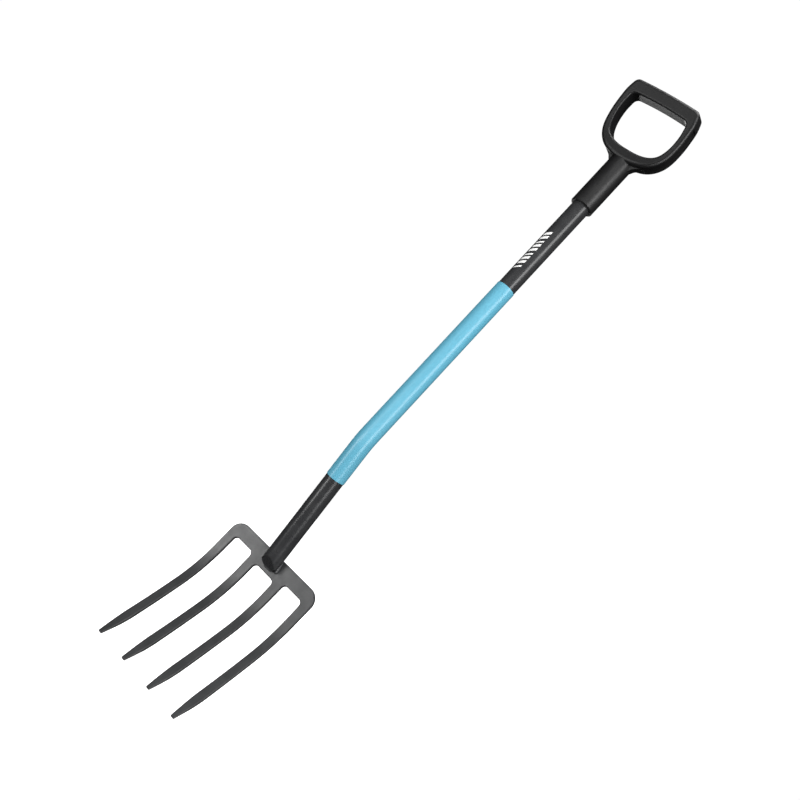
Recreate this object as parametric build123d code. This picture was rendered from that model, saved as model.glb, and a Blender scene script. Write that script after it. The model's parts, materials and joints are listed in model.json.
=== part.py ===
from build123d import *
from math import cos, radians, sin, sqrt, tan
import os

# A four-tine digging fork: a steel head welded to a bent steel tube, with a
# plastic sleeve on the tube and a moulded D-handle on its top end.
#
# Working frame, millimetres: the origin is where the two straight axes of the
# tube meet, +Z runs up the upper leg to the handle, X runs across the tines
# and -Y is the hollow side of the tines, which faces the person digging.
# at_rest() moves every piece at the end, so that the finished part has its
# origin at the bottom centre of its bounding box.

# Tube
TUBE_R = 15.0
TUBE_WALL = 1.5
BEND_DEG = 13.15
BEND_R = 120.0
TUBE_TOP = 574.0
SLEEVE_WALL = 0.7
SLEEVE_TOP = 313.8
SLEEVE_BOTTOM = 70.0        # measured down the lower leg
SLEEVE_EDGE = 0.3
FIT_GAP = 0.02              # keeps touching round faces apart

# Fork head: one plate, measured along its front face from the top edge
HEAD_Y = 62.0
HEAD_Z = -210.3
PLATE_T = 6.5
TINE_W = 13.8
ROOT_FLARE = 1.3            # a tine is wider by this on each side at its root
FLARE_RUN = 175.0           # and back to its own width this far down
INNER_X = 28.5
OUTER_X = 83.0
SHOULDER_R = 20.0
SLOT_DEPTH = 23.2
MID_SLOT_DEPTH = 31.8
SLOT_CORNER_R = 7.0
STRAIGHT_DEG = -3.3
STRAIGHT_RUN = 52.0
CURVE_DEG = 26.6            # the main hollow of the tines
CURVE_RUN = 78.0
TAIL_DEG = 7.2              # the gentle curve down to the points
TAIL_RUN = 134.5
POINT_RUN = 47.0
POINT_T = 3.2
POINT_W = 7.0
POINT_BULGE = 0.5           # how far the sides of a point bow outwards
HEAD_EDGE_R = 1.25
TOP_LEAD = 3.0              # the plate starts this far above the cut top edge
FLOOR_DROP = 20.0           # and the gaps are cut this far past the points

# Closed lower end of the tube, measured down the front of the plate
END_RUN = 23.0
END_HEIGHT = 8.2            # front edge of the end wall, above the plate
END_HALF_W = 8.0
BEVEL_RUN = 9.0             # where the bevel meets the front of the tube
CORNER_RUN = 17.0           # where the corner cuts meet the sides of the tube
END_WALL = 2.0

# Welds
SIDE_BEAD_R = 3.2
SIDE_BEAD_RUNS = (1.0, 8.0, 15.0, 19.0)
SIDE_BEAD_OUT = 0.4         # centre line of the bead, outside the tube's edge
SIDE_BEAD_LIFT = 0.6        # and above the plate
TOE_BEAD_R = 2.2
TOE_BEAD_HALF = 6.5
TOE_BEAD_BOW = 0.35         # how far its ends lie behind its middle
TOE_BEAD_LIFT = 0.3
BACK_BEAD_R = 2.6
BACK_BEAD_XS = (-6.0, -3.0, 0.0, 3.0, 6.0)
BACK_BEAD_OUT = 1.0         # centre line of the bead, behind the tube
BACK_BEAD_LIFT = 0.4        # and above the plate's top edge

# Handle
SOCKET_R = 19.6
SOCKET_BOTTOM = 487.5
SOCKET_TOP = 601.0
SOCKET_CHAMFER = 1.2
HAND_Z = 578.6              # height of the point that the D leans about
HAND_TILT_DEG = 17.0
HAND_FRONT = -13.0          # front and back planes of the D at that point
HAND_BACK = 21.5
D_HALF = (                  # right half of the D's outside, up to the grip
    (0, 6), (22, 8.3), (36, 13), (50.2, 24), (58.5, 37.5),
    (63.2, 57), (64.6, 76), (64.1, 97), (58, 124.6),
)
D_END_SLOPE = (-0.3, 1)
D_TOP = 126.4               # top of the grip, measured up the D
D_CORNER_R = 10.0
D_EDGE_R = 5.5
EYE_HALF = (                # right half of the hand opening
    (0, 25), (20, 26.1), (34, 30.2), (43.5, 37.2),
    (49.2, 48), (52.6, 63), (53.3, 79), (50.2, 103),
)
EYE_END_SLOPE = (-0.14, 1)
EYE_TOP = 105.2
EYE_CORNER_R = 9.0
EYE_EDGE_R = 3.2
FRONT_BULGE = ((19.8, -10), (18.5, 5), (17.4, 14), (14.9, 29), (13.4, 45), (13, 62))
GROOVE_DEPTH = 2.0
GROOVE_LIP = 7.5            # left standing in front of and behind the groove
GROOVE_INNER_X = 35.0
GROOVE_HIGH = 100.0
GUSSET_HALF = ((17, -4), (19.6, 0.5), (22.4, 4.2), (27, 7.6), (37, 14.5))
GUSSET_FRONT = -8.0
GUSSET_BACK = 8.0
GUSSET_TOP = 20.0

# Rivet that holds the handle on the tube, at the back of the socket
RIVET_Z = 520.0
RIVET_SHANK_R = 2.4
RIVET_HEAD_R = 4.8
RIVET_HEAD_T = 1.8
RIVET_SEAT_R = 6.5
RIVET_SEAT_Y = 18.4         # flat sunk into the socket under the rivet's head
RIVET_BULB_R = 3.6

HEAD_REACH = 262.0           # length of the lower leg before its end is shaped
BIG = 400.0
BETA = radians(BEND_DEG)
DOWN_TUBE = Vector(0, sin(BETA), -cos(BETA))


def tube_path(top, bottom):
    """Centre line of the tube from a height to a run down the lower leg."""
    corner = Vector(0, 0, 0)
    return FilletPolyline(Vector(0, 0, top), corner, DOWN_TUBE * bottom, radius=BEND_R)


def bent_rod(radius, top, bottom):
    """Solid round bar along the tube's centre line."""
    section = Plane(origin=(0, 0, top), z_dir=(0, 0, -1)) * Circle(radius)
    return sweep(section, path=tube_path(top, bottom))


def plate_plane(run, height):
    """Plane on the plate's front face, moved down it and out from it.

    Its z axis is the outward normal of the face and its x axis is +X.
    """
    tilt = radians(STRAIGHT_DEG)
    down = Vector(0, sin(tilt), -cos(tilt))
    out = Vector(0, -cos(tilt), -sin(tilt))
    start = Vector(0, HEAD_Y, HEAD_Z)
    return Plane(origin=start + down * run + out * height, x_dir=(1, 0, 0), z_dir=out)


def block_beyond(corners, keep, inset=0):
    """Large block past the plane through three points, on the side away from keep.

    The block is moved inset towards keep.
    """
    a, b, c = corners
    normal = (b - a).cross(c - a).normalized()
    if normal.dot(keep - a) > 0:
        normal = normal * -1
    plane = Plane(origin=a - normal * inset, z_dir=normal)
    return plane * Box(BIG, BIG, BIG, align=(Align.CENTER, Align.CENTER, Align.MIN))


def on_plate(x, run, height=0):
    """Point at a sideways place, a run down the plate and a height above it."""
    return plate_plane(run, height).origin + Vector(x, 0, 0)


def axis_height(run):
    """Height of the tube's axis above the plate's front face at a run."""
    plane = plate_plane(0, 0)
    start = plane.origin
    reach = start.dot(plane.y_dir) / DOWN_TUBE.dot(plane.y_dir)
    slope = DOWN_TUBE.dot(plane.z_dir) / DOWN_TUBE.dot(plane.y_dir * -1)
    return (DOWN_TUBE * reach - start).dot(plane.z_dir) + slope * run


def tube_front(run):
    """Height of the tube's front line above the plate at a run."""
    lean = radians(BEND_DEG - STRAIGHT_DEG)
    return axis_height(run) + TUBE_R / cos(lean)


def end_cuts(inset):
    """Blocks that shape the pressed end of the tube, moved in by a wall."""
    keep = on_plate(0, 0, axis_height(0))
    wall = (on_plate(0, END_RUN), on_plate(1, END_RUN), on_plate(0, END_RUN, 1))
    bevel = (
        on_plate(0, END_RUN, END_HEIGHT),
        on_plate(1, END_RUN, END_HEIGHT),
        on_plate(0, BEVEL_RUN, tube_front(BEVEL_RUN)),
    )
    planes = [wall, bevel]
    for side in (-1, 1):
        low = on_plate(side * END_HALF_W, END_RUN)
        high = on_plate(side * TUBE_R, CORNER_RUN)
        planes.append((low, high, on_plate(side * END_HALF_W, END_RUN, 1)))
    return [block_beyond(corners, keep, inset) for corners in planes]


def seat_cut(inset):
    """Block behind the plate's front face and below its top edge."""
    block = Box(BIG, BIG, BIG, align=(Align.CENTER, Align.CENTER, Align.MAX))
    return plate_plane(0, inset) * block & Pos(0, 0, HEAD_Z + inset) * block


def closed_rod(radius, top, inset):
    """Bent bar with its lower end shaped to lie on the plate."""
    rod = bent_rod(radius, top, HEAD_REACH)
    for cut in end_cuts(inset) + [seat_cut(inset)]:
        rod -= cut
    return rod


def shaft_tube():
    outer = closed_rod(TUBE_R, TUBE_TOP, 0)
    bore = closed_rod(TUBE_R - TUBE_WALL, TUBE_TOP + 1, END_WALL)
    return outer - bore - rivet_hole()


def shaft_sleeve():
    outer = bent_rod(TUBE_R + SLEEVE_WALL, SLEEVE_TOP, SLEEVE_BOTTOM)
    outer = chamfer(outer.edges().filter_by(GeomType.CIRCLE), SLEEVE_EDGE)
    return outer - bent_rod(TUBE_R + FIT_GAP, SLEEVE_TOP + 1, SLEEVE_BOTTOM + 1)


def tine_curve(offset):
    """Edges of the plate's side profile, offset back from its front face.

    Drawn in the YZ plane: a straight run, the main hollow and a gentle tail,
    each tangent to the next. Returns the edges and their two end points.
    """
    point = Vector(0, HEAD_Y, HEAD_Z)
    angle = radians(STRAIGHT_DEG)
    edges = []
    ends = []

    def heading(a):
        return Vector(0, sin(a), -cos(a))

    def back(a):
        return Vector(0, cos(a), sin(a))

    def placed(p, a):
        return p + back(a) * offset

    before = point - heading(angle) * TOP_LEAD
    after = point + heading(angle) * STRAIGHT_RUN
    ends.append(placed(before, angle))
    edges.append(Line(placed(before, angle), placed(after, angle)))
    point = after
    for turn, run in ((CURVE_DEG, CURVE_RUN), (TAIL_DEG, TAIL_RUN)):
        radius = run / radians(turn)
        centre = point - back(angle) * radius
        middle = angle - radians(turn) / 2
        end = angle - radians(turn)
        out = radius + offset
        edges.append(ThreePointArc(*(centre + back(a) * out for a in (angle, middle, end))))
        point = centre + back(end) * radius
        angle = end
    ends.append(placed(point, angle))
    return edges, ends


def bent_plate():
    """The head's plate as one wide curved strip, thinned towards its points."""
    front, front_ends = tine_curve(0)
    rear, rear_ends = tine_curve(PLATE_T)
    close = [Line(front_ends[0], rear_ends[0]), Line(front_ends[1], rear_ends[1])]
    face = make_face(front + rear + close)
    width = 2 * (OUTER_X + TINE_W)
    strip = extrude(face, width / 2, dir=(1, 0, 0), both=True)
    tip = front_ends[1]
    out = (rear_ends[1] - tip).normalized()
    along = Vector(0, out.Z, -out.Y)
    if along.Z > 0:
        along = along * -1
    root = tip - along * POINT_RUN + out * (PLATE_T + 1)
    thin = tip + out * POINT_T
    thin_cut = block_beyond((root, thin, thin + Vector(1, 0, 0)), tip)
    return strip - thin_cut


def flank(x, side, z):
    """Point on one side of the tine at x, seen from the front, at a height."""
    drop = max(0, 1 - (HEAD_Z - z) / FLARE_RUN)
    return (x + side * (TINE_W / 2 + ROOT_FLARE * drop ** 2), z)


def flanked_face(left, left_side, right, right_side, top, floor):
    """Face between the flanks of two tines, from a level top to a level floor."""
    end = HEAD_Z - FLARE_RUN
    edges = []
    corners = []
    for x, side in ((left, left_side), (right, right_side)):
        high = flank(x, side, top)
        middle = flank(x, side, (top + end) / 2)
        low = flank(x, side, end)
        bottom = (low[0], floor)
        edges += [ThreePointArc(high, middle, low), Line(low, bottom)]
        corners.append((high, bottom))
    edges += [Line(corners[0][0], corners[1][0]), Line(corners[0][1], corners[1][1])]
    return make_face(edges)


def rounded_top(face, radius):
    return fillet(face.vertices().group_by(Axis.Y)[-1], radius)


def head_outline():
    """Front view of the head in the XZ plane: crossbar, tines and points."""
    tip_z = tine_curve(0)[1][1].Z
    floor = tip_z - FLOOR_DROP
    body = rounded_top(flanked_face(-OUTER_X, -1, OUTER_X, 1, HEAD_Z, floor), SHOULDER_R)
    gaps = (
        (-OUTER_X, -INNER_X, SLOT_DEPTH),
        (-INNER_X, INNER_X, MID_SLOT_DEPTH),
        (INNER_X, OUTER_X, SLOT_DEPTH),
    )
    for left, right, depth in gaps:
        ceiling = HEAD_Z - depth * cos(radians(STRAIGHT_DEG))
        body -= rounded_top(flanked_face(left, 1, right, -1, ceiling, floor), SLOT_CORNER_R)
    return Plane.XZ * body


def point_cuts():
    """Slivers that taper the sides of each tine, bowed slightly, to its point."""
    edges, ends = tine_curve(0)
    tip = ends[1]
    rise = abs(edges[-1].tangent_at(1).Z) * POINT_RUN
    cuts = []
    for x in (-OUTER_X, -INNER_X, INNER_X, OUTER_X):
        for side in (-1, 1):
            root = Vector(x + side * TINE_W / 2, tip.Z + rise)
            end = Vector(x + side * POINT_W / 2, tip.Z)
            bulge = (root + end) / 2 + Vector(side * POINT_BULGE, 0)
            away = Vector(side, 0)
            low = tip.Z - FLOOR_DROP
            outside = Polyline(end, (end.X, low), (root.X + side, low), root + away, root)
            face = make_face([ThreePointArc(root, bulge, end), outside])
            cuts.append(extrude(Plane.XZ * face, BIG, both=True))
    return cuts


def fork_head():
    head = bent_plate() & extrude(head_outline(), BIG, both=True)
    for cut in point_cuts():
        head -= cut
    return fillet(head.edges(), HEAD_EDGE_R)


def bead_run(points, radius):
    """Round bead along a smooth line of points, before it is trimmed."""
    line = Spline(points)
    section = Plane(origin=line @ 0, z_dir=line % 0) * Circle(radius)
    ends = [Pos(p) * Sphere(radius) for p in (line @ 0, line @ 1)]
    return sweep(section, path=line) + ends


def side_bead(side):
    """Fillet weld down one side of the tube."""
    points = []
    for run in SIDE_BEAD_RUNS:
        x = sqrt(TUBE_R ** 2 - axis_height(run) ** 2) + SIDE_BEAD_OUT
        points.append(on_plate(side * x, run, SIDE_BEAD_LIFT))
    return bead_run(points, SIDE_BEAD_R)


def toe_bead():
    """Weld across the pressed end of the tube."""
    points = []
    for share in (-1, 0, 1):
        run = END_RUN + TOE_BEAD_LIFT - TOE_BEAD_BOW * share ** 2
        points.append(on_plate(share * TOE_BEAD_HALF, run, TOE_BEAD_LIFT))
    return bead_run(points, TOE_BEAD_R)


def back_bead():
    """Weld behind the tube, along the top edge of the plate."""
    points = []
    for x in BACK_BEAD_XS:
        y = -HEAD_Z * tan(BETA) + sqrt(TUBE_R ** 2 - x ** 2) / cos(BETA) + BACK_BEAD_OUT
        points.append(Vector(x, y, HEAD_Z + BACK_BEAD_LIFT))
    return bead_run(points, BACK_BEAD_R)


def hand_plane(depth):
    """Plane of the leaning D; its y axis points up the D and z to the front."""
    lean = radians(HAND_TILT_DEG)
    back = Vector(0, cos(lean), sin(lean))
    origin = Vector(0, 0, HAND_Z) + back * depth
    return Plane(origin=origin, x_dir=(1, 0, 0), z_dir=back * -1)


def mirrored_face(points, end_slope, top, corner_r):
    """Face inside a smooth half outline, its mirror image and an arched top."""
    half = Spline(points, tangents=[(1, 0), end_slope])
    x, y = points[-1]
    arch = ThreePointArc((x, y), (0, top), (-x, y))
    face = make_face([half, mirror(half, about=Plane.YZ), arch])
    return fillet(face.vertices().group_by(Axis.Y)[-1], corner_r)


def moved_in(points, end_slope, inset):
    """Points of a half outline, each moved in square to the line through it."""
    slopes = [Vector(1, 0)]
    slopes += [Vector(b) - Vector(a) for a, b in zip(points, points[2:])]
    slopes.append(Vector(end_slope))
    moved = []
    for point, slope in zip(points, slopes):
        unit = slope.normalized()
        moved.append((point[0] - unit.Y * inset, point[1] + unit.X * inset))
    return moved


def d_outline(inset=0.0):
    """Outside of the D, or the same line moved in by a small inset."""
    points = moved_in(D_HALF, D_END_SLOPE, inset)
    return mirrored_face(points, D_END_SLOPE, D_TOP - inset, D_CORNER_R)


def eye_outline():
    return mirrored_face(EYE_HALF, EYE_END_SLOPE, EYE_TOP, EYE_CORNER_R)


def groove():
    """Shallow channel round the outside of the two arms."""
    plane = hand_plane(HAND_BACK - GROOVE_LIP)
    depth = HAND_BACK - HAND_FRONT - 2 * GROOVE_LIP
    limit = Pos(0, GROOVE_HIGH - D_TOP / 2) * Rectangle(BIG, D_TOP)
    limit -= Rectangle(2 * GROOVE_INNER_X, 2 * D_TOP)
    channel = limit - d_outline(GROOVE_DEPTH)
    return extrude(plane * channel, depth, dir=plane.z_dir)


def d_band():
    """Side view of the D, drawn out sideways: its front swells at the foot."""
    plane = hand_plane(0)
    side = Plane(origin=plane.origin, x_dir=plane.z_dir, z_dir=(-1, 0, 0))
    start, end = FRONT_BULGE[0], FRONT_BULGE[-1]
    front = Spline(FRONT_BULGE, tangents=[(-0.09, 1), (0, 1)])
    top = (end[0], D_TOP + 5)
    rest = Polyline(end, top, (-HAND_BACK, top[1]), (-HAND_BACK, start[1]), start)
    return extrude(side * make_face([front, rest]), BIG / 2, both=True)


def rims(body):
    """Curved edges of the D that run round its front or its back."""
    toward = hand_plane(0).z_dir
    curved = [edge for edge in body.edges() if edge.geom_type != GeomType.LINE]
    return [edge for edge in curved if abs(edge.tangent_at(0.5).dot(toward)) < 0.5]


def d_frame():
    """The leaning D with its hand opening, rounded all along its edges."""
    back = hand_plane(HAND_BACK)
    reach = HAND_BACK + FRONT_BULGE[0][0] + 1
    frame = extrude(back * d_outline(), reach, dir=back.z_dir) & d_band()
    frame = fillet(rims(frame), D_EDGE_R)
    old = [edge.center() for edge in frame.edges()]
    frame -= extrude(back * eye_outline(), reach, dir=back.z_dir)
    fresh = [edge for edge in rims(frame) if min((edge.center() - c).length for c in old) > 0.1]
    return fillet(fresh, EYE_EDGE_R)


def gusset():
    """Web that carries the socket's sides out into the foot of the D."""
    half = Spline(GUSSET_HALF, tangents=[(0.1, 1), (0.8, 0.6)])
    (x0, y0), (x1, y1) = GUSSET_HALF[0], GUSSET_HALF[-1]
    rest = Polyline((x1, y1), (x1, GUSSET_TOP), (0, GUSSET_TOP), (0, y0), (x0, y0))
    face = make_face([half, rest])
    face += mirror(face, about=Plane.YZ)
    back = hand_plane(GUSSET_BACK)
    return extrude(back * face, GUSSET_BACK - GUSSET_FRONT, dir=back.z_dir)


def socket():
    height = SOCKET_TOP - SOCKET_BOTTOM
    body = Cylinder(SOCKET_R, height, align=(Align.CENTER, Align.CENTER, Align.MIN))
    return Pos(0, 0, SOCKET_BOTTOM) * chamfer(body.edges().group_by(Axis.Z)[0], SOCKET_CHAMFER)


def rivet_line(y, length, radius):
    """Cylinder along the rivet's axis, from a depth towards the back."""
    start = Plane(origin=(0, y, RIVET_Z), z_dir=(0, 1, 0))
    return start * Cylinder(radius, length, align=(Align.CENTER, Align.CENTER, Align.MIN))


def rivet_hole():
    return rivet_line(TUBE_R - 4, 10, RIVET_SHANK_R)


def handle_rivet():
    """Blind rivet: domed head outside, bulb against the inside of the tube."""
    shank = rivet_line(TUBE_R - 5, RIVET_SEAT_Y - TUBE_R + 5.5, RIVET_SHANK_R)
    head = rivet_line(RIVET_SEAT_Y, RIVET_HEAD_T, RIVET_HEAD_R)
    head = fillet(head.edges().sort_by(Axis.Y)[-1], RIVET_HEAD_T * 0.8)
    inside = sqrt((TUBE_R - TUBE_WALL) ** 2 - RIVET_BULB_R ** 2)
    bulb = rivet_line(inside - 3, 3, RIVET_BULB_R)
    return shank + head + bulb


def handle():
    body = d_frame() + gusset() - groove() + socket()
    back = hand_plane(BIG / 2)
    body -= extrude(back * eye_outline(), BIG, dir=back.z_dir)
    bore = Cylinder(TUBE_R + FIT_GAP, TUBE_TOP + 1, align=(Align.CENTER, Align.CENTER, Align.MIN))
    body -= bore
    body -= rivet_line(RIVET_SEAT_Y, 10, RIVET_SEAT_R)
    return body - rivet_hole()


def weld(bead, *neighbours):
    """Bead trimmed by its neighbours, without the crumbs that this cuts off."""
    for solid in neighbours:
        bead -= solid
    return max(bead.solids(), key=lambda lump: lump.volume)


def build():
    """All pieces in the working frame, by name."""
    head = fork_head()
    tube = shaft_tube()
    filled = closed_rod(TUBE_R, TUBE_TOP, 0)
    left = weld(side_bead(-1), head, filled)
    right = weld(side_bead(1), head, filled)
    return {
        "fork_head": head,
        "shaft_tube": tube,
        "shaft_sleeve": shaft_sleeve(),
        "handle": handle(),
        "handle_rivet": handle_rivet(),
        "weld_left": left,
        "weld_right": right,
        "weld_toe": weld(toe_bead(), head, filled, left, right),
        "weld_back": weld(back_bead(), head, filled, left, right),
    }


def at_rest(pieces):
    """Move the pieces so that the origin is the bottom centre of their box."""
    boxes = [piece.bounding_box() for piece in pieces.values()]
    front = min(box.min.Y for box in boxes)
    rear = max(box.max.Y for box in boxes)
    bottom = min(box.min.Z for box in boxes)
    rest = Pos(0, -(front + rear) / 2, -bottom)
    return {name: rest * piece for name, piece in pieces.items()}


os.makedirs("parts", exist_ok=True)
for name, piece in at_rest(build()).items():
    export_step(piece, f"parts/{name}.step")
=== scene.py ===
import json
from math import cos, radians, sin

import bmesh
import bpy
from mathutils import Matrix, Vector

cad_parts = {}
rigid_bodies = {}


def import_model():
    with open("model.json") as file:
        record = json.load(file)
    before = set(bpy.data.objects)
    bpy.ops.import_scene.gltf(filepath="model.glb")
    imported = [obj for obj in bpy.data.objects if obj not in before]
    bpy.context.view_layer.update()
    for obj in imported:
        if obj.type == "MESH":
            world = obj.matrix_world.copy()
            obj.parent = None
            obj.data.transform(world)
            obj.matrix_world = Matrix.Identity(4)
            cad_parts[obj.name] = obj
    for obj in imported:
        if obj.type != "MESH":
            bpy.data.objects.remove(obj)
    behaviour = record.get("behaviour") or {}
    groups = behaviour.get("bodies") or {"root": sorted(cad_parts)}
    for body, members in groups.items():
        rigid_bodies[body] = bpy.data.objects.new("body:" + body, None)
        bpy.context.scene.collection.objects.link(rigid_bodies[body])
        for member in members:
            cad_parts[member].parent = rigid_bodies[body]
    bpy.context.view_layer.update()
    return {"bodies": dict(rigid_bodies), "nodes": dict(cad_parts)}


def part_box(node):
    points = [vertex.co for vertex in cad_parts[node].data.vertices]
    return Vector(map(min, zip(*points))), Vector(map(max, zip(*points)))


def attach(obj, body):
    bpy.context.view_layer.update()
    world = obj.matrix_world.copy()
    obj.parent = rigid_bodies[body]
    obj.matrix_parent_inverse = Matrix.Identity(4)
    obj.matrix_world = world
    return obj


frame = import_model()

scene = bpy.context.scene

# Camera, aimed at a point near the middle of the fork
CAMERA_AIM = Vector((-0.00871, 0.00351, 0.53238))
CAMERA_AZIMUTH = radians(23.123)
CAMERA_ELEVATION = radians(-7.027)
CAMERA_ROLL = radians(42.868)
CAMERA_DISTANCE = 1.3763
CAMERA_LENS = 41.461          # millimetres, on a 36 mm wide sensor

# Softboxes: name, azimuth and elevation in degrees, distance and aim height in
# metres, width and height in metres, and power in watts.
# A fill only brightens the fork, and isn't mirrored in its gloss.
LIGHTS = (
    ("key_strip", 60, 8, 1.9, 0.60, (0.75, 2.4), 38),
    ("low_left", -37, -15, 1.0, 0.36, (0.22, 0.40), 2.6),
    ("bar_box", -23, 2, 2.0, 0.25, (1.0, 0.40), 9),
    ("top_front", 10, 54, 2.2, 0.60, (1.3, 0.45), 16),
    ("top_box", 20, 78, 1.9, 0.60, (1.3, 0.7), 22),
    ("hand_box", -23, -4, 2.0, 1.08, (0.9, 0.5), 2),
    ("rear_strip", 212, 14, 2.2, 0.60, (0.7, 2.2), 12),
)
FILLS = (
    ("front_fill", 12, 2, 2.6, 0.60, (1.5, 1.8), 24),
    ("rear_fill", 200, 25, 2.4, 0.60, (1.4, 1.6), 34),
)
AMBIENT = 0.26                # how much the surroundings light the fork
BACKDROP = 1.02               # how bright they look to the camera
FLOOR_GLOW = 0.97
FLOOR_HALF = 9.0
FLOOR_WHITE = 0.9
FLOOR_ROUGHNESS = 0.9
FLOOR_SPECULAR = 0.1

# Most noise lies between these two values, which a colour or gloss range spans
NOISE_LOW = 0.3
NOISE_HIGH = 0.7

# The straight upper leg of the tube
TUBE_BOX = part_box("shaft_tube")
TUBE_R = (TUBE_BOX[1][0] - TUBE_BOX[0][0]) / 2
RIVET_REACH = 0.0202          # from the tube's axis to the back of the rivet
AXIS_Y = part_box("handle_rivet")[1][1] - RIVET_REACH

# Row of slanted bars on the upper tube
MARK_LOW = 0.7966
MARK_HIGH = 0.8736
MARK_TURN = radians(-20)      # round the tube, from its front towards -X
MARK_HALF = radians(21)
MARK_LIFT = 0.00008           # outer face of a bar, above the tube
MARK_UNDERSIDE = MARK_LIFT / 4
MARK_BARS = 9
MARK_SLANT = 0.0035
MARK_FILL = 0.58              # share of a step that a bar takes
MARK_SHORT_FILL = 0.34        # and the share of every third bar
MARK_STEPS = 10               # flats round the tube in each bar

# Depth of the powder coat's orange peel, and its fine grain as a share of it
HEAD_PEEL = 0.00006
TUBE_PEEL = 0.000012
COAT_GRAIN_SHARE = 0.35


def camera():
    """Camera from the front and slightly below, rolled so the fork lies aslant."""
    data = bpy.data.cameras.new("camera")
    data.lens = CAMERA_LENS
    data.sensor_width = 36
    turn = (
        Matrix.Rotation(CAMERA_AZIMUTH, 4, "Z")
        @ Matrix.Rotation(radians(90) - CAMERA_ELEVATION, 4, "X")
        @ Matrix.Rotation(CAMERA_ROLL, 4, "Z")
    )
    made = bpy.data.objects.new("camera", data)
    back_off = Matrix.Translation((0, 0, CAMERA_DISTANCE))
    made.matrix_world = Matrix.Translation(CAMERA_AIM) @ turn @ back_off
    scene.collection.objects.link(made)
    scene.camera = made


def softbox(name, azimuth, elevation, distance, aim, size, power):
    """Area light that faces the fork's axis at a height, from a direction.

    The azimuth is measured from the front, towards +X. Size is width, height.
    """
    data = bpy.data.lights.new(name, "AREA")
    data.shape = "RECTANGLE"
    data.size, data.size_y = size
    data.energy = power
    made = bpy.data.objects.new(name, data)
    azimuth, elevation = radians(azimuth), radians(elevation)
    level = cos(elevation)
    away = Vector((sin(azimuth) * level, -cos(azimuth) * level, sin(elevation)))
    turn = away.to_track_quat("Z", "Y").to_matrix().to_4x4()
    made.matrix_world = Matrix.Translation(Vector((0, 0, aim)) + away * distance) @ turn
    made.visible_camera = False
    scene.collection.objects.link(made)
    return made


def studio():
    """White surroundings for the camera, dimmer for what the fork reflects."""
    world = bpy.data.worlds.new("studio")
    world.use_nodes = True
    tree = world.node_tree
    back = tree.nodes["Background"]
    back.inputs["Color"].default_value = (1, 1, 1, 1)
    path = tree.nodes.new("ShaderNodeLightPath")
    level = tree.nodes.new("ShaderNodeMapRange")
    level.inputs["To Min"].default_value = AMBIENT
    level.inputs["To Max"].default_value = BACKDROP
    tree.links.new(path.outputs["Is Camera Ray"], level.inputs["Value"])
    tree.links.new(level.outputs["Result"], back.inputs["Strength"])
    scene.world = world
    scene.view_settings.view_transform = "Standard"
    world.cycles_visibility.glossy = False
    for light in LIGHTS:
        softbox(*light)
    for light in FILLS:
        softbox(*light).visible_glossy = False


def floor():
    """White floor that glows for the camera and doesn't light the fork."""
    mesh = bpy.data.meshes.new("floor")
    signs = ((-1, -1), (1, -1), (1, 1), (-1, 1))
    corners = [(x * FLOOR_HALF, y * FLOOR_HALF, 0) for x, y in signs]
    mesh.from_pydata(corners, [], [(0, 1, 2, 3)])
    made = bpy.data.objects.new("floor", mesh)
    scene.collection.objects.link(made)
    paint = bpy.data.materials.new("floor")
    paint.use_nodes = True
    shader = paint.node_tree.nodes["Principled BSDF"]
    shader.inputs["Base Color"].default_value = (FLOOR_WHITE, FLOOR_WHITE, FLOOR_WHITE, 1)
    shader.inputs["Roughness"].default_value = FLOOR_ROUGHNESS
    shader.inputs["Specular IOR Level"].default_value = FLOOR_SPECULAR
    shader.inputs["Emission Color"].default_value = (1, 1, 1, 1)
    shader.inputs["Emission Strength"].default_value = FLOOR_GLOW
    mesh.materials.append(paint)
    made.visible_diffuse = False
    made.visible_glossy = False


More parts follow.
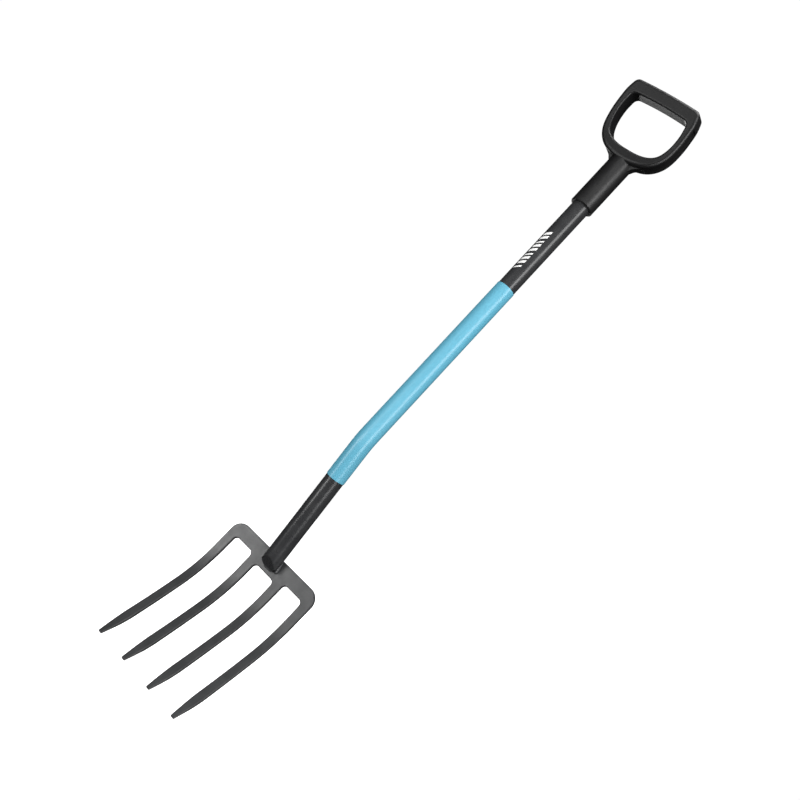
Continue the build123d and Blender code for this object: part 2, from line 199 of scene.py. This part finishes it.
class Finish:
    """A material whose colour, gloss and relief come from layered noise."""

    def __init__(self, name, specular=0.5, metallic=0.0):
        self.made = bpy.data.materials.new(name)
        self.made.use_nodes = True
        self.tree = self.made.node_tree
        self.shader = self.tree.nodes["Principled BSDF"]
        self.shader.inputs["Specular IOR Level"].default_value = specular
        self.shader.inputs["Metallic"].default_value = metallic
        self.place = self.node("ShaderNodeTexCoord").outputs["Object"]
        self.relief = None

    def node(self, kind, **values):
        made = self.tree.nodes.new(kind)
        for name, value in values.items():
            made.inputs[name.replace("_", " ")].default_value = value
        return made

    def link(self, source, target):
        self.tree.links.new(source, target)

    def stretched(self, scale):
        """Object coordinates scaled along each axis."""
        mapping = self.node("ShaderNodeMapping")
        mapping.inputs["Scale"].default_value = scale
        self.link(self.place, mapping.inputs["Vector"])
        return mapping.outputs["Vector"]

    def noise(self, scale, detail=2, rough=0.5, stretch=(1, 1, 1)):
        made = self.node("ShaderNodeTexNoise", Scale=scale, Detail=detail, Roughness=rough)
        self.link(self.stretched(stretch), made.inputs["Vector"])
        return made.outputs["Fac"]

    def ramp(self, source, stops):
        made = self.node("ShaderNodeValToRGB")
        ramp = made.color_ramp
        while len(ramp.elements) < len(stops):
            ramp.elements.new(0.5)
        for element, (at, colour) in zip(ramp.elements, stops):
            element.position = at
            element.color = (*colour, 1)
        self.link(source, made.inputs["Fac"])
        return made.outputs["Color"]

    def level(self, source, low, high):
        made = self.node(
            "ShaderNodeMapRange", From_Min=NOISE_LOW, From_Max=NOISE_HIGH, To_Min=low, To_Max=high
        )
        self.link(source, made.inputs["Value"])
        return made.outputs["Result"]

    def colour(self, source, stops):
        self.link(self.ramp(source, stops), self.shader.inputs["Base Color"])

    def gloss(self, source, low, high):
        self.link(self.level(source, low, high), self.shader.inputs["Roughness"])

    def bump(self, source, depth, strength=1.0):
        made = self.node("ShaderNodeBump", Strength=strength, Distance=depth)
        self.link(source, made.inputs["Height"])
        if self.relief:
            self.link(self.relief, made.inputs["Normal"])
        self.relief = made.outputs["Normal"]
        self.link(self.relief, self.shader.inputs["Normal"])


def powder_coat(name, dark, light, low, high, peel):
    """Black powder coat on steel: soft patches, orange peel and fine grain."""
    made = Finish(name)
    patches = made.noise(scale=38, detail=5, rough=0.62)
    made.colour(patches, [(0.32, dark), (0.68, light)])
    made.gloss(made.noise(scale=60, detail=4, rough=0.6), low, high)
    made.bump(made.noise(scale=520), depth=peel, strength=0.7)
    made.bump(made.noise(scale=2300, detail=1), depth=peel * COAT_GRAIN_SHARE, strength=0.6)
    return made.made


def weld_coat():
    """Powder coat over a welded bead, with the bead's ripples under it, coloured lighter than the same
    coat on the head as a painted highlight along the bead.
    """
    made = Finish("weld_coat")
    patches = made.noise(scale=240, detail=4, rough=0.6)
    # About twice as light as the head's coat: the same black coat, with a painted highlight along the
    # bead
    made.colour(patches, [(NOISE_LOW, (0.030, 0.031, 0.033)), (NOISE_HIGH, (0.062, 0.063, 0.066))])
    made.gloss(made.noise(scale=300, detail=3), low=0.34, high=0.52)
    ripples = made.noise(scale=620, detail=3, rough=0.6, stretch=(1, 1, 0.45))
    made.bump(ripples, depth=0.0005, strength=0.8)
    return made.made


def moulded_plastic():
    """Black moulded handle: fine spark-eroded grain over a slight waviness."""
    made = Finish("black_plastic", specular=0.45)
    patches = made.noise(scale=26, detail=4, rough=0.55)
    made.colour(patches, [(NOISE_LOW, (0.0075, 0.0075, 0.0078)), (NOISE_HIGH, (0.0110, 0.0110, 0.0114))])
    made.gloss(made.noise(scale=45, detail=4, rough=0.6), low=0.37, high=0.45)
    made.bump(made.noise(scale=1500, rough=0.65), depth=0.000015, strength=0.6)
    made.bump(made.noise(scale=150), depth=0.00004, strength=0.3)
    return made.made


def sleeve_plastic():
    """Light blue satin sleeve, with faint draw marks along the tube."""
    made = Finish("blue_sleeve")
    streaks = made.noise(scale=55, detail=3, stretch=(1, 1, 0.12))
    made.colour(streaks, [(NOISE_LOW, (0.092, 0.330, 0.450)), (NOISE_HIGH, (0.110, 0.358, 0.480))])
    made.gloss(made.noise(scale=70, detail=4, rough=0.6, stretch=(1, 1, 0.2)), low=0.27, high=0.34)
    made.bump(made.noise(scale=420, stretch=(1, 1, 0.15)), depth=0.000015, strength=0.5)
    made.bump(made.noise(scale=1700), depth=0.00001, strength=0.6)
    return made.made


def rivet_steel():
    """Blackened steel of the rivet's head."""
    made = Finish("rivet_steel", metallic=0.6)
    patches = made.noise(scale=420, detail=3, rough=0.6)
    made.colour(patches, [(NOISE_LOW, (0.045, 0.046, 0.050)), (NOISE_HIGH, (0.075, 0.076, 0.080))])
    made.gloss(made.noise(scale=600, detail=3), low=0.32, high=0.46)
    made.bump(made.noise(scale=1800), depth=0.00004, strength=0.6)
    return made.made


def print_white():
    """Screen-printed white, a little thin in places."""
    made = Finish("print_white", specular=0.4)
    patches = made.noise(scale=900, detail=4, rough=0.65)
    made.colour(patches, [(NOISE_LOW, (0.62, 0.62, 0.61)), (0.6, (0.86, 0.86, 0.85))])
    made.gloss(made.noise(scale=700), low=0.42, high=0.55)
    made.bump(made.noise(scale=2100), depth=0.00002, strength=0.5)
    return made.made


def bar_points(shape, low, tall):
    """Points of one bar: its underside, then its outer face, in pairs along Z."""
    points = []
    for lift in (MARK_UNDERSIDE, MARK_LIFT):
        for i in range(MARK_STEPS + 1):
            share = i / MARK_STEPS * 2 - 1
            turn = MARK_TURN + MARK_HALF * share
            r = TUBE_R + lift
            slant = MARK_SLANT * share
            for z in (low + slant, low + slant + tall):
                points.append(shape.verts.new((sin(turn) * r, AXIS_Y - cos(turn) * r, z)))
    return points


def add_bar(shape, low, tall):
    """One slanted bar, a thin closed strip wrapped round the tube."""
    points = bar_points(shape, low, tall)
    count = len(points) // 2
    under, outer = points[:count], points[count:]
    for i in range(0, count - 2, 2):
        shape.faces.new((outer[i], outer[i + 2], outer[i + 3], outer[i + 1]))
        shape.faces.new((under[i + 1], under[i + 3], under[i + 2], under[i]))
        shape.faces.new((under[i], under[i + 2], outer[i + 2], outer[i]))
        shape.faces.new((outer[i + 1], outer[i + 3], under[i + 3], under[i + 1]))
    shape.faces.new((under[0], outer[0], outer[1], under[1]))
    shape.faces.new((under[-1], outer[-1], outer[-2], under[-2]))


def marking():
    """Printed row of slanted bars on the front of the upper tube."""
    shape = bmesh.new()
    step = (MARK_HIGH - MARK_LOW) / MARK_BARS
    for bar in range(MARK_BARS):
        fill = MARK_FILL if bar % 3 else MARK_SHORT_FILL
        add_bar(shape, MARK_LOW + bar * step, step * fill)
    mesh = bpy.data.meshes.new("shaft_marking")
    shape.to_mesh(mesh)
    shape.free()
    made = bpy.data.objects.new("shaft_marking", mesh)
    scene.collection.objects.link(made)
    mesh.materials.append(print_white())
    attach(made, "root" if "root" in frame["bodies"] else sorted(frame["bodies"])[0])


def paint(finishes):
    """Give each node its finish, in all its material slots."""
    for name, finish in finishes.items():
        node = frame["nodes"][name]
        for slot in node.material_slots:
            slot.material = finish


camera()
studio()
floor()
head = powder_coat(
    "coated_steel",
    dark=(0.020, 0.021, 0.022),
    light=(0.031, 0.032, 0.033),
    low=0.30,
    high=0.40,
    peel=HEAD_PEEL,
)
tube = powder_coat(
    "tube_coat",
    dark=(0.024, 0.0245, 0.026),
    light=(0.034, 0.0345, 0.036),
    low=0.25,
    high=0.31,
    peel=TUBE_PEEL,
)
# Weld finish: black powder coat lightened as a painted highlight along the beads
weld = weld_coat()
paint({
    "fork_head": head,
    "shaft_tube": tube,
    "shaft_sleeve": sleeve_plastic(),
    "handle": moulded_plastic(),
    "handle_rivet": rivet_steel(),
    "weld_left": weld,
    "weld_right": weld,
    "weld_toe": weld,
    "weld_back": weld,
})
marking()
